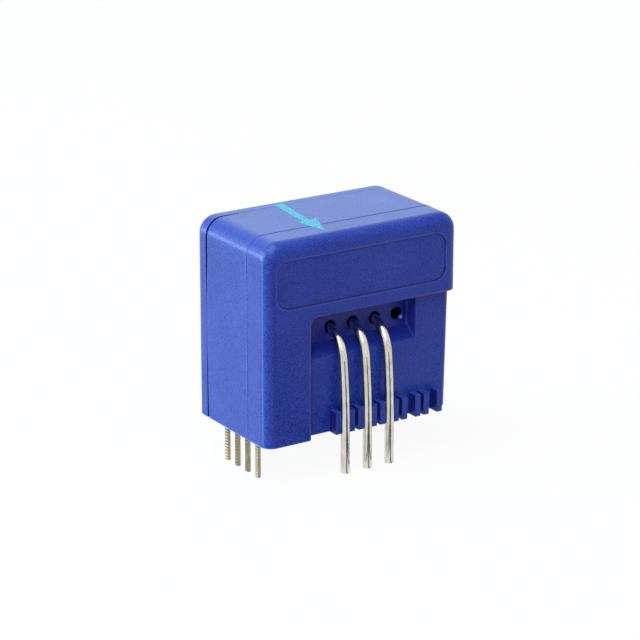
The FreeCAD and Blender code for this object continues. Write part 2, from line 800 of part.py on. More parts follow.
def build_board():
    """The circuit board, upright behind the column, open for the coil and sensor leads."""
    body = new_body("circuit_board")
    sketch = new_sketch(body, "outline", "YZ_Plane", "board_left")
    draw_box(sketch, "board_front", "board_base", "(body_depth - board_front)", "board_top")
    pad(body, sketch, "plate", "board_thickness")
    sketch = new_sketch(body, "terminal_holes", "YZ_Plane", "board_left")
    for up in ("+", "-"):
        draw_terminals(sketch, up, "+-", "terminal_fit")
    pocket(body, sketch, "terminal_slots", "board_thickness", reverse=True)
    sketch = new_sketch(body, "lead_slot_outline", "YZ_Plane", "board_left")
    slot_along = "((lead_span + lead_width) / 2 + lead_fit)"
    slot_across = "(lead_thickness / 2 + lead_fit)"
    draw_box(sketch, f"(mid_depth - {slot_along})", f"(hall_height - {slot_across})",
             f"(mid_depth + {slot_along})", f"(hall_height + {slot_across})")
    pocket(body, sketch, "lead_slot", "board_thickness", reverse=True)
    return body


def build_core_half(label, upper):
    """An L of stacked laminations: one long limb through its coil and one upright limb."""
    body = new_body(label)
    sketch = new_sketch(body, "lamination", "XZ_Plane", "-(mid_depth - core_depth / 2)")
    inner, outer = "window_half_height", "(window_half_height + limb_width)"
    if upper:
        corners = [
            ("core_left", f"(bore_height + {inner})"),
            ("window_right", f"(bore_height + {inner})"),
            ("window_right", f"(bore_height - {inner})"),
            ("core_right", f"(bore_height - {inner})"),
            ("core_right", f"(bore_height + {outer})"),
            ("core_left", f"(bore_height + {outer})"),
        ]
    else:
        corners = [
            ("core_left", f"(bore_height - {outer})"),
            ("core_right", f"(bore_height - {outer})"),
            ("core_right", f"(bore_height - {inner})"),
            ("window_left", f"(bore_height - {inner})"),
            ("window_left", f"(bore_height + {inner} - hall_gap)"),
            ("core_left", f"(bore_height + {inner} - hall_gap)"),
        ]
    draw_outline(sketch, corners)
    pad(body, sketch, "stack", "core_depth", reverse=True)
    return body


def coil_height(up):
    """The height of a coil's middle, above the bores or below them."""
    return f"(bore_height {up} limb_offset)"


def terminal_height(up):
    """The height of a coil's two terminals, on the side of its limb towards the bores."""
    return f"(bore_height {up} (limb_offset - terminal_drop / 2))"


def draw_ring(sketch, middle, half_depth, half_height, radius=None):
    """A box round a limb, this far each way from the limb's middle."""
    return draw_box(sketch, f"(mid_depth - {half_depth})", f"({middle} - {half_height})",
                    f"(mid_depth + {half_depth})", f"({middle} + {half_height})", radius)


def draw_terminals(sketch, up, sides, clearance="0"):
    """The square sections of a coil's terminals, or of their holes with a clearance."""
    half = f"(terminal_width / 2 + {clearance})"
    height = terminal_height(up)
    for across in sides:
        depth = f"(mid_depth {across} terminal_reach)"
        draw_box(sketch, f"({depth} - {half})", f"({height} - {half})",
                 f"({depth} + {half})", f"({height} + {half})")
    return sketch


def build_bobbin(label, up):
    """A spool on a long limb, with a flange at each end and two terminals in the left one."""
    body = new_body(label)
    start = "(window_left + bobbin_fit)"
    length = "(window_right - window_left - 2 * bobbin_fit)"
    middle = coil_height(up)

    def ring(name, offset, half_depth, half_height):
        sketch = new_sketch(body, name, "YZ_Plane", offset)
        draw_ring(sketch, middle, half_depth, half_height)
        return draw_ring(sketch, middle, "(core_depth / 2 + bobbin_fit)",
                         "(limb_width / 2 + bobbin_fit)")

    rim_depth, rim_height = "(coil_half_depth + flange_lip)", "(coil_half_height + flange_lip)"
    pad(body, ring("tube_section", start, "tube_half_depth", "tube_half_height"), "tube", length)
    pad(body, ring("left_rim", start, rim_depth, rim_height), "left_flange", "flange_thickness")
    pad(body, ring("right_rim", f"({start} + {length} - flange_thickness)", rim_depth,
                   rim_height), "right_flange", "flange_thickness")
    sketch = draw_terminals(new_sketch(body, "terminal_seats", "YZ_Plane", start), up, "+-")
    pocket(body, sketch, "terminal_seat", "flange_thickness", reverse=True)
    return body


def build_winding(label, up):
    """The compensation winding, as the block that the wound wire fills between the flanges."""
    body = new_body(label)
    sketch = new_sketch(body, "section", "YZ_Plane",
                        "(window_left + bobbin_fit + flange_thickness)")
    draw_ring(sketch, coil_height(up), "coil_half_depth", "coil_half_height", "winding_build")
    draw_ring(sketch, coil_height(up), "tube_half_depth", "tube_half_height")
    pad(body, sketch, "turns",
        "window_right - window_left - 2 * (bobbin_fit + flange_thickness)")
    return body


def build_terminal(label, up, across):
    """A square post from its bobbin's flange through the circuit board."""
    body = new_body(label)
    sketch = new_sketch(body, "section", "YZ_Plane", "terminal_start")
    draw_terminals(sketch, up, across)
    pad(body, sketch, "post", "window_left + bobbin_fit + flange_thickness - terminal_start")
    return body


def build_hall_element():
    """The magnetic sensor in the core's gap, with flat leads to the circuit board."""
    body = new_body("hall_element")
    base, top = "(hall_height - hall_thickness / 2)", "(hall_height + hall_thickness / 2)"
    sketch = new_sketch(body, "package", "YZ_Plane", "(window_left - hall_length)")
    draw_box(sketch, "(mid_depth - hall_width / 2)", base, "(mid_depth + hall_width / 2)", top)
    block = pad(body, sketch, "package_block", "hall_length")
    upper = edges_where(block, lambda spot: near(spot.z, top))
    soften(body, block, "package_bevel", upper, "lead_thickness", "Chamfer")
    sketch = new_sketch(body, "lead_section", "YZ_Plane", "terminal_start")
    first = "(mid_depth - lead_span / 2)"
    draw_box(sketch, f"({first} - lead_width / 2)", "(hall_height - lead_thickness / 2)",
             f"({first} + lead_width / 2)", "(hall_height + lead_thickness / 2)")
    lead = pad(body, sketch, "lead", "window_left - hall_length / 2 - terminal_start")
    row_of(body, [lead], sketch, "H_Axis", "leads", "lead_pitch", "lead_count")
    return body


def build_signal_chip():
    """The signal chip on the board's inner face, upright, with leads along both long sides."""
    body = new_body("signal_chip")
    base = "(board_right + chip_standoff)"
    sketch = new_sketch(body, "package", "YZ_Plane", base)
    draw_box(sketch, "(chip_depth - chip_width / 2)", "(bore_height - chip_length / 2)",
             "(chip_depth + chip_width / 2)", "(bore_height + chip_length / 2)")
    block = pad(body, sketch, "package_block", "chip_thickness")
    rim = edges_where(block, lambda spot: near(spot.x, f"{base} + chip_thickness"))
    soften(body, block, "package_bevel", rim, "chip_lead_thickness", "Chamfer")

    # Each lead leaves the package half way up, turns down and rests its toe on the board.
    shoulder = f"({base} + chip_thickness / 2)"
    shoulder_top = f"({shoulder} + chip_lead_thickness)"
    toe_top = "(board_right + chip_lead_thickness)"
    first = "(bore_height - chip_lead_pitch * (chip_lead_count - 1) / 2 - chip_lead_width / 2)"
    for name, out, back in (("back", "+", "-"), ("front", "-", "+")):
        edge = f"(chip_depth {out} chip_width / 2)"
        root = f"({edge} {back} chip_lead_reach)"
        knee = f"({edge} {out} chip_lead_reach / 2)"
        shin = f"({knee} {back} chip_lead_thickness)"
        toe = f"({edge} {out} chip_lead_reach)"
        sketch = new_sketch(body, f"{name}_lead_section", "XY_Plane", first)
        draw_outline(sketch, [
            (shoulder, root),
            (shoulder, shin),
            ("board_right", shin),
            ("board_right", toe),
            (toe_top, toe),
            (toe_top, knee),
            (shoulder_top, knee),
            (shoulder_top, root),
        ])
        lead = pad(body, sketch, f"{name}_lead", "chip_lead_width")
        upright = new_sketch(body, f"{name}_row_axis", "YZ_Plane")
        row_of(body, [lead], upright, "V_Axis", f"{name}_leads", "chip_lead_pitch",
               "chip_lead_count")
    return body


def build_chip_part(label, kind, depth, height):
    """A surface-mounted resistor or capacitor with metal caps on its two ends."""
    body = new_body(label)
    length, width, thickness = f"{kind}_length", f"{kind}_width", f"{kind}_thickness"
    near_end, far_end = f"({depth} - {length} / 2)", f"({depth} + {length} / 2)"
    low, high = f"({height} - {width} / 2)", f"({height} + {width} / 2)"
    sketch = new_sketch(body, "ceramic", "YZ_Plane", "(board_right + end_cap_proud)")
    draw_box(sketch, near_end, low, far_end, high)
    pad(body, sketch, "ceramic_block", thickness)
    sketch = new_sketch(body, "caps", "YZ_Plane", "board_right")
    for start, stop in ((f"({near_end} - end_cap_proud)", f"({near_end} + {length} / 5)"),
                        (f"({far_end} - {length} / 5)", f"({far_end} + end_cap_proud)")):
        draw_box(sketch, start, f"({low} - end_cap_proud)", stop, f"({high} + end_cap_proud)")
    pad(body, sketch, "end_caps", f"{thickness} + 2 * end_cap_proud")
    return body


pieces = [build_case(), build_cover()]
pieces += [build_conductor(index) for index in range(int(sizes["conductor_count"]))]
pieces += [build_pin(index) for index in range(int(sizes["pin_count"]))]
pieces += [
    build_board(),
    build_core_half("core_half_upper", True),
    build_core_half("core_half_lower", False),
    build_hall_element(),
    build_signal_chip(),
]
for name, up in (("upper", "+"), ("lower", "-")):
    pieces.append(build_bobbin(f"coil_bobbin_{name}", up))
    pieces.append(build_winding(f"compensation_winding_{name}", up))
    pieces.append(build_terminal(f"coil_terminal_{name}_front", up, "-"))
    pieces.append(build_terminal(f"coil_terminal_{name}_back", up, "+"))
for index, step in enumerate((-1, 0, 1)):
    pieces.append(build_chip_part(f"filter_capacitor_{index + 1}", "capacitor",
                                  "capacitor_depth", f"(bore_height + {step} * capacitor_pitch)"))
for index, up in enumerate(("+", "-")):
    pieces.append(build_chip_part(f"gain_resistor_{index + 1}", "gain", "chip_depth",
                                  f"(bore_height {up} gain_offset)"))
pieces.append(build_chip_part("measuring_resistor", "measuring", "mid_depth",
                              "(board_base + measuring_rise)"))

document.recompute()
os.makedirs("parts", exist_ok=True)
for piece in pieces:
    for item in piece.Group:
        if {"Invalid", "Error"} & set(item.State):
            raise RuntimeError(f"{item.Label} failed: {item.State}")
    if piece.Shape.isNull() or not piece.Shape.isValid():
        raise RuntimeError(f"{piece.Label} has no valid shape")
for piece in pieces:
    piece.Shape.exportStep(f"parts/{piece.Label}.step")
    solids, volume = len(piece.Shape.Solids), piece.Shape.Volume
    print(f"{piece.Label}: {solids} solid, {volume:.2f} cubic millimetres")
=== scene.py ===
import math

import bmesh
import bpy
from mathutils import Matrix, Vector


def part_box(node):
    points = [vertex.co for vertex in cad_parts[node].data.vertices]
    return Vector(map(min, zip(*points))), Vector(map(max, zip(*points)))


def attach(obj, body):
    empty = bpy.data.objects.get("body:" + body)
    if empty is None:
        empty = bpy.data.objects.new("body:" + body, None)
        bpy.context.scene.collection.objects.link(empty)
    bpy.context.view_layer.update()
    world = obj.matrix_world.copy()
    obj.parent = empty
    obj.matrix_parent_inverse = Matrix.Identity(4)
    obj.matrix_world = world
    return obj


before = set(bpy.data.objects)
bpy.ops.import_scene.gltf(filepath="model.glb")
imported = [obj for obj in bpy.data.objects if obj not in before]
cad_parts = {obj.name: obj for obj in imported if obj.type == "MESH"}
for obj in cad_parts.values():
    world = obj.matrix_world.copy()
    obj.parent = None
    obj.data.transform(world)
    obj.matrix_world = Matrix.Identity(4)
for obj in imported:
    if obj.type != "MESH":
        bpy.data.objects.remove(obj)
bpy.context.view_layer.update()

mm = 0.001
print("frame loaded:", len(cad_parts), "solids")


# Shader helpers

class Wire:
    # One shader socket. An operator adds the Math node that works it out.
    def __init__(self, maker, socket):
        self.maker = maker
        self.socket = socket

    def maths(self, operation, *others):
        values = dict(enumerate((self,) + others))
        return self.maker.node("ShaderNodeMath", {"operation": operation}, values)

    def __add__(self, other):
        return self.maths("ADD", other)

    def __sub__(self, other):
        return self.maths("SUBTRACT", other)

    def __rsub__(self, other):
        return self.maker.node("ShaderNodeMath", {"operation": "SUBTRACT"}, {0: other, 1: self})

    def __mul__(self, other):
        return self.maths("MULTIPLY", other)

    def __truediv__(self, other):
        return self.maths("DIVIDE", other)

    def __abs__(self):
        return self.maths("ABSOLUTE")

    def __gt__(self, other):
        return self.maths("GREATER_THAN", other)

    def __lt__(self, other):
        return self.maths("LESS_THAN", other)

    __radd__ = __add__
    __rmul__ = __mul__


class NodeMaker:
    # Adds nodes to one tree: a kind of node, its settings, and what its sockets are given.
    def __init__(self, tree):
        self.tree = tree

    def node(self, kind, settings=None, inputs=None, output=0):
        made = self.tree.nodes.new(kind)
        for name, value in (settings or {}).items():
            if name == "stops":
                self.setStops(made.color_ramp, value)
            else:
                setattr(made, name, value)
        for name, value in (inputs or {}).items():
            self.feed(made.inputs[name], value)
        return Wire(self, made.outputs[output])

    def setStops(self, ramp, stops):
        while len(ramp.elements) < len(stops):
            ramp.elements.new(1.0)
        for element, (place, colour) in zip(ramp.elements, stops):
            element.position = place
            element.color = (*colour, 1.0)

    def feed(self, socket, value):
        if isinstance(value, Wire):
            self.tree.links.new(value.socket, socket)
        elif isinstance(value, tuple) and len(value) == 3 and socket.type == "RGBA":
            socket.default_value = (*value, 1.0)
        else:
            socket.default_value = value

    # One where the camera, a reflection or clear material looks, and nothing for other rays.
    def seenShare(self):
        camera, glossy, clear = [self.node("ShaderNodeLightPath", output=name) for name in
                                 ("Is Camera Ray", "Is Glossy Ray", "Is Transmission Ray")]
        return camera.maths("MAXIMUM", glossy).maths("MAXIMUM", clear)


class Finish(NodeMaker):
    # A material and the nodes that it is made of.
    def __init__(self, name, roughness=0.5, metallic=0.0, specular=0.5):
        self.material = bpy.data.materials.new(name)
        self.material.use_nodes = True
        super().__init__(self.material.node_tree)
        self.shader = self.tree.nodes["Principled BSDF"]
        self.give("Roughness", roughness)
        self.give("Metallic", metallic)
        self.give("Specular IOR Level", specular)

    def give(self, name, value):
        self.feed(self.shader.inputs[name], value)

    # The three parts of a vector.
    def apart(self, vector):
        split = self.node("ShaderNodeSeparateXYZ", None, {0: vector}).socket.node
        return [Wire(self, part) for part in split.outputs]

    # Where a point is on the object, in millimetres, stretched by a factor for each axis.
    def place(self, stretch=(1, 1, 1)):
        spot = self.node("ShaderNodeTexCoord", output="Object")
        factors = tuple(factor / mm for factor in stretch)
        return self.node("ShaderNodeVectorMath", {"operation": "MULTIPLY"}, {0: spot, 1: factors})

    def axes(self):
        return self.apart(self.place())

    # Which way the surface looks, by its flat faces or as it is smoothed.
    def facing(self, kind="True Normal"):
        return self.apart(self.node("ShaderNodeNewGeometry", output=kind))

    # Noise with grains of about this size, in millimetres.
    def grain(self, size, detail=2.0, rough=0.5, stretch=(1, 1, 1)):
        return self.node("ShaderNodeTexNoise", {"noise_dimensions": "3D"}, {
            "Vector": self.place(stretch), "Scale": 1.0 / size, "Detail": detail,
            "Roughness": rough})

    def cells(self, size, feature="F1"):
        return self.node("ShaderNodeTexVoronoi", {"feature": feature}, {
            "Vector": self.place(), "Scale": 1.0 / size})

    def mix(self, share, first, second):
        return self.node("ShaderNodeMix", {"data_type": "RGBA"},
                         {0: share, 6: first, 7: second}, output=2)

    def mixVector(self, share, first, second):
        return self.node("ShaderNodeMix", {"data_type": "VECTOR"},
                         {0: share, 4: first, 5: second}, output=1)

    # Colours with stops along a value.
    def ramp(self, value, stops):
        return self.node("ShaderNodeValToRGB", {"stops": stops}, {"Fac": value})

    # A value that runs from one end to the other as this one does between low and high.
    def spread(self, value, low, high, start=0.0, stop=1.0):
        return self.node("ShaderNodeMapRange", {"clamp": True}, {
            "Value": value, "From Min": low, "From Max": high, "To Min": start, "To Max": stop})

    # The surface's direction with its edges softened over a radius in metres.
    def softEdges(self, radius):
        return self.node("ShaderNodeBevel", {"samples": 6}, {"Radius": radius})

    # How near an edge is: nothing on the flat, and more where the softened direction leans.
    def edgeShare(self, softened):
        flat = self.node("ShaderNodeNewGeometry", output="Normal")
        same = self.node("ShaderNodeVectorMath", {"operation": "DOT_PRODUCT"},
                         {0: softened, 1: flat}, output="Value")
        return self.spread(1.0 - same, 0.01, 0.2)

    def bump(self, height, distance, strength=1.0, onTop=None):
        inputs = {"Height": height, "Distance": distance * mm, "Strength": strength}
        if onTop is not None:
            inputs["Normal"] = onTop
        return self.node("ShaderNodeBump", None, inputs)


def dress(finish, *nodes):
    for name in nodes:
        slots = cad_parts[name].data.materials
        if len(slots) == 0:
            slots.append(finish.material)
        for index in range(len(slots)):
            slots[index] = finish.material


def srgb(red, green, blue):
    def one(value):
        value /= 255.0
        return value / 12.92 if value <= 0.04045 else ((value + 0.055) / 1.055) ** 2.4
    return (one(red), one(green), one(blue))


def shaded(colour, factor):
    return tuple(factor * value for value in colour)


def boxOf(node):
    return [[value / mm for value in corner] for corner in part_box(node)]


def addPiece(name, mesh, finish):
    mesh.materials.append(finish.material)
    piece = bpy.data.objects.new(name, mesh)
    bpy.context.scene.collection.objects.link(piece)
    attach(piece, "root")
    return piece


# Camera

cameraView = {
    "spot": (-137.862, -211.964, 93.737),   # millimetres from the middle of the seating plane
    "right": (0.83989836, -0.54274282, 0.00098595),
    "up": (0.1713227, 0.26684594, 0.94838904),
    "ahead": (0.51499448, 0.79638149, -0.31710764),
    "lens": 155.26,
    "sensor": 36.0,
}


def addCamera(view):
    data = bpy.data.cameras.new("productCamera")
    data.lens = view["lens"]
    data.sensor_width = view["sensor"]
    data.sensor_fit = "HORIZONTAL"
    data.clip_start = 0.01
    data.clip_end = 10.0
    camera = bpy.data.objects.new("productCamera", data)
    bpy.context.scene.collection.objects.link(camera)
    turned = Matrix((view["right"], view["up"], [-value for value in view["ahead"]])).transposed()
    camera.matrix_world = Matrix.Translation(Vector(view["spot"]) * mm) @ turned.to_4x4()
    bpy.context.scene.camera = camera


addCamera(cameraView)
print("camera placed")


# Studio: a pale floor, four soft lamps and dark flags for the legs' reflections

studio = {
    "floorDepth": 4.06,       # millimetres under the seating plane, just below the legs' ends
    "floorSize": 3.0,         # metres
    "floorTone": (0.90, 0.90, 0.90),
    "backdropTone": (1.0, 1.0, 1.0),
    "bounceTone": (0.42, 0.36, 0.52),   # what the floor gives back to the object
    "shadowShare": 0.07,
    "roomTone": (0.08, 0.07, 0.10),
    "aim": (0, 0, 0.009),
    "lamps": {                # spot and size in metres, power in watts, colour
        "leftSoftbox": ((-0.49, 0.27, 0.12), (0.36, 0.30), 3.7, (0.87, 1.06, 0.80)),
        "topSoftbox": ((-0.18, -0.06, 0.57), (0.50, 0.40), 2.8, (0.90, 1.0, 0.97)),
        "rearStrip": ((0.27, 0.42, 0.21), (0.50, 0.26), 0.50, (0.60, 0.92, 0.95)),
        "frontFill": ((-0.30, -0.42, 0.46), (0.16, 0.16), 1.15, (1.0, 0.85, 1.0)),
    },
    "flagTone": (0.11, 0.10, 0.085),
    "flagSweep": (-13, 11),   # degrees to the right of straight out
    "flagLength": 110.0,
    "flagLift": 0.02,
}


def addLamps():
    aim = Vector(studio["aim"])
    for name, (spot, size, power, colour) in studio["lamps"].items():
        data = bpy.data.lights.new(name, "AREA")
        data.shape = "RECTANGLE"
        data.size, data.size_y = size
        data.energy = power
        data.color = colour
        lamp = bpy.data.objects.new(name, data)
        lamp.location = spot
        lamp.rotation_mode = "QUATERNION"
        lamp.rotation_quaternion = (aim - Vector(spot)).to_track_quat("-Z", "Y")
        bpy.context.scene.collection.objects.link(lamp)


def addRoom():
    world = bpy.data.worlds.new("studioRoom")
    world.use_nodes = True
    nodes = world.node_tree.nodes
    nodes.remove(nodes["Background"])
    room = NodeMaker(world.node_tree)
    light, backdrop = [room.node("ShaderNodeBackground", None, {"Color": studio[tone]})
                       for tone in ("roomTone", "backdropTone")]
    both = room.node("ShaderNodeMixShader", None, {0: room.seenShare(), 1: light, 2: backdrop})
    room.feed(nodes["World Output"].inputs["Surface"], both)
    bpy.context.scene.world = world


def addFloor():
    finish = Finish("studioFloor", roughness=0.9, specular=0.1)
    seen = finish.seenShare()
    finish.give("Base Color", finish.mix(seen, studio["bounceTone"], studio["floorTone"]))
    glow = finish.node("ShaderNodeEmission", None,
                       {"Color": studio["backdropTone"], "Strength": 1.0})
    lit = Wire(finish, finish.shader.outputs[0])
    both = finish.node("ShaderNodeMixShader", None,
                       {0: seen * (1.0 - studio["shadowShare"]), 1: lit, 2: glow})
    finish.feed(finish.tree.nodes["Material Output"].inputs["Surface"], both)
    half = studio["floorSize"] / 2 / mm
    addCard("studioFloor", finish, [(-half, -half), (half, -half), (half, half), (-half, half)],
            -studio["floorDepth"])


# Dark wedges on the floor, one before each leg, that only the metal's reflections show. They
# make the dark line down its middle.
def addFlags():
    finish = Finish("darkFlag", roughness=0.8, specular=0.1)
    finish.give("Base Color", studio["flagTone"])
    for number in (1, 2, 3):
        low, high = boxOf(f"primary_conductor_{number}")
        foot = ((low[0] + high[0]) / 2, low[1] + (high[0] - low[0]) / 2)
        corners = [foot]
        for degrees in studio["flagSweep"]:
            angle = math.radians(degrees)
            corners.append((foot[0] + studio["flagLength"] * math.sin(angle),
                            foot[1] - studio["flagLength"] * math.cos(angle)))
        flag = addCard(f"darkFlag{number}", finish, corners,
                       studio["flagLift"] - studio["floorDepth"])
        flag.visible_camera = False
        flag.visible_diffuse = False
        flag.visible_shadow = False


# A flat card, level, with its corners and its height in millimetres.
def addCard(name, finish, corners, height):
    mesh = bpy.data.meshes.new(name)
    mesh.from_pydata([(x * mm, y * mm, height * mm) for x, y in corners], [],
                     [tuple(range(len(corners)))])
    mesh.materials.append(finish.material)
    card = bpy.data.objects.new(name, mesh)
    bpy.context.scene.collection.objects.link(card)
    return card


addLamps()
addRoom()
addFloor()
addFlags()
bpy.context.scene.view_settings.view_transform = "Standard"
print("studio ready")


# Case and cover: blue moulded plastic with a fine spark-eroded grain

casePlastic = {
    "tone": (0.011, 0.050, 0.40),
    "deepTone": (0.004, 0.026, 0.30),
    "paleTone": (0.034, 0.090, 0.50),
    "grainSize": 0.13,                  # millimetres
    "grainHeight": 0.020,
    "grainGloss": (0.27, 0.55),         # roughness in the grain's valleys and on its tops
    "flowSize": 5.0,
    "flowShare": 0.15,
    "edgeWearAndHighlightTone": (0.070, 0.130, 0.58),   # rubbed edges with painted highlights, and a painted highlight on the parting line
    "edgeRadius": 0.05,
    "patchSize": 0.6,
    "polish": 0.1,                      # how much smoother the rubbed places are
    "cornerHighlightFacing": 0.95,               # how far to the side a tall corner with a painted highlight looks
    "cornerHighlightBand": (0.015, 0.04),
    "cornerHighlightShare": 0.8,
    "footLightTone": (0.010, 0.200, 0.95),   # the lower edge: painted light from the paper under it
    "footHeight": 0.16,
    "footCorner": -10.0,                # the left side shows it in full, the rest less
    "footLightShare": 0.4,
    "boreShade": 0.15,                  # painted shade makes the smooth bores darker than the grained outside
    "boreGloss": 0.25,
    "boreSink": 0.08,                   # how far the bores' middle lies under the wires'
    "boreRoom": 0.155,
    "boreReach": 3.62,
    "ridgeSpot": -2.94,                 # the parting line
    "ridgeReach": 0.13,
    # painted highlight on the parting line
    "ridgeHighlight": 0.5,
    "crownFoot": 18.4,
    "inkTone": (0.030, 0.50, 0.66),
    "inkSpan": (-3.83, -2.65),          # where the printed arrow crosses the parting line
    "pocketSpot": (9.9, 2.15),          # middle and half of the pocket's height
    "pocketReach": (3.8, 5.3),          # how far its back and its sill are from the middle
    "pocketMargin": 1.19,               # from the last bore to its right wall
    # painted shade on the pocket's back and on its sill, under the hood
    "pocketShadeTone": (0.004, 0.020, 0.32),
    "sillShadeTone": (0.013, 0.036, 0.35),
    "sillFacing": 0.25,
    "wallRadius": 0.35,
    "sideMargin": 0.5,
    # painted highlight: a glint on the rim of the empty bore
    "glintTone": (0.45, 0.60, 0.95),
    "glintSpot": (0.50, 9.46),          # from the empty bore's middle, and its height
    "glintRadius": (0.08, 0.24),
    "glintReach": 0.4,
    "seamSpot": 4.43,                   # where the cover meets the case
    "seamReach": 0.24,
    "seamEnd": -7.0,
    # painted shade in the open seam
    "seamShade": 0.25,
    "combSpan": (-5.5, 10.6),
    "combTop": 2.3,
    "combRoot": 5.2,                    # how far from the middle the teeth begin
    # painted shade on the sides of the teeth
    "combShadeTone": (0.003, 0.013, 0.20),
    "panelMiddle": (-0.10, 15.825),     # the shallow field on the hood, across and up
    "panelHalf": (9.55, 2.375),
    "panelRadius": 1.3,
    "panelShade": 0.25,                 # painted shade in its inner corner
    "lineWidth": 0.17,
}


# One on the walls of the bores, behind the backs of both pockets, and nothing elsewhere.
def boreShare(finish, look):
    x, y, z = finish.axes()
    first, second = boxOf("primary_conductor_1"), boxOf("primary_conductor_2")
    radius = (first[1][0] - first[0][0]) / 2
    pitch = second[0][0] - first[0][0]
    across = (x - (first[0][0] + radius - pitch / 2)) / pitch
    beside = (across.maths("FRACT") - 0.5) * pitch
    above = z - (first[1][2] - radius - look["boreSink"])
    away = (beside * beside + above * above).maths("SQRT")
    row = (x > first[0][0] - pitch) * (x < second[1][0] + 3 * pitch)
    return (away < radius + look["boreRoom"]) * (abs(y) < look["boreReach"]) * row


# One on the parting line down the left side, below the crown.
def ridgeShare(finish, look):
    x, y, z = finish.axes()
    across = abs(y - look["ridgeSpot"])
    return (across < look["ridgeReach"]) * (z < look["crownFoot"]) * (x < 0.0)


# One where the arrow's ink lies on the parting line.
def inkShare(finish, look):
    x, y, z = finish.axes()
    left, right = look["inkSpan"]
    across = abs(y - look["ridgeSpot"])
    return (across < look["ridgeReach"]) * (z > look["crownFoot"]) * (x > left) * (x < right)


# The empty bore's place across the case.
def emptyBore():
    second, third = boxOf("primary_conductor_2"), boxOf("primary_conductor_3")
    return (third[0][0] + third[1][0]) / 2 + third[0][0] - second[0][0]


# The back of the pocket and its sill, where shade is painted, and the soft edges of its right wall.
def pocketShares(finish, look):
    x, y, z = finish.axes()
    nx, ny, nz = finish.facing()
    middle, half = look["pocketSpot"]
    back, front = look["pocketReach"]
    left = boxOf("main_case")[0][0] + look["sideMargin"]
    right = emptyBore() + look["pocketMargin"]
    level = abs(z - middle) < half
    inside = level * (abs(y) < front) * (x > left) * (x < right + 0.1)
    wall = level * (abs(x - right) < look["wallRadius"])
    return inside * (abs(y) < back), inside * (nz > look["sillFacing"]), wall


# The painted highlight on the mouth of the empty bore: a glint on its rim.
def glintShare(finish, look):
    x, y, z = finish.axes()
    right, height = look["glintSpot"]
    beside, above = x - (emptyBore() + right), z - height
    away = (beside * beside + above * above).maths("SQRT")
    near, far = look["glintRadius"]
    mouth = abs(abs(y) - look["pocketReach"][0]) < look["glintReach"]
    return finish.spread(away, near, far, 1.0, 0.0) * mouth


# One in the open seam on the left, on the faces that look to the front or back, where shade is
# painted.
def seamShare(finish, look):
    x, y, z = finish.axes()
    nx, ny, nz = finish.facing()
    within = abs(y - look["seamSpot"]) < look["seamReach"]
    return within * (abs(ny) > 0.5) * (x < look["seamEnd"])


# One on the sides of the comb's teeth, where shade is painted.
def combShadeShare(finish, look):
    x, y, z = finish.axes()
    nx, ny, nz = finish.facing()
    low, high = look["combSpan"]
    tooth = (z < look["combTop"]) * (abs(y) > look["combRoot"])
    return tooth * (abs(nx) > 0.6) * (x > low) * (x < high)


# One at the very foot of the walls, where light from the paper under them is painted, in full on
# the left side.
def footLightShare(finish, look):
    x, y, z = finish.axes()
    strength = (x < look["footCorner"]) * (1.0 - look["footLightShare"]) + look["footLightShare"]
    return finish.spread(z, 0.0, look["footHeight"], 1.0, 0.0) * strength


# The painted highlight on the rim outside the shallow field's outline, and the painted shade in the
# corner inside it.
def panelShares(finish, look):
    x, y, z = finish.axes()
    apart = [abs(place - middle) - (half - look["panelRadius"]) for place, middle, half in
             zip((x, z), look["panelMiddle"], look["panelHalf"])]
    beyond = [part.maths("MAXIMUM", 0.0) for part in apart]
    outside = (beyond[0] * beyond[0] + beyond[1] * beyond[1]).maths("SQRT")
    inside = apart[0].maths("MAXIMUM", apart[1]).maths("MINIMUM", 0.0)
    distance = outside + inside - look["panelRadius"]
    front = y < boxOf("main_case")[0][1] + 2 * look["lineWidth"]
    rim = (distance > 0.0) * finish.spread(distance, 0.0, look["lineWidth"], 1.0, 0.0)
    corner = (distance < 0.0) * finish.spread(distance, -look["lineWidth"], 0.0)
    return rim * front, corner * front


# How rubbed a spot is, and where highlights are painted: soft edges, rubbed and with painted
# highlights, and painted highlights on the parting line, the field's rim and the tall corners.
def wearAndHighlightShare(finish, look, softened, rim):
    patches = finish.spread(finish.grain(look["patchSize"]), 0.3, 0.6, 0.5, 1.0)
    nx, ny, nz = finish.facing("Normal")
    near, far = look["cornerHighlightBand"]
    # Painted highlight down the tall rounded corners between a side and the front.
    corners = finish.spread(abs(abs(nx) - look["cornerHighlightFacing"]), near, far,
                            look["cornerHighlightShare"], 0.0)
    # Paler soft edges: partly rubbing, partly painted highlight.
    worn = finish.edgeShare(softened) * patches
    for other in (ridgeShare(finish, look) * look["ridgeHighlight"], rim * patches, corners):
        worn = worn.maths("MAXIMUM", other)
    return worn


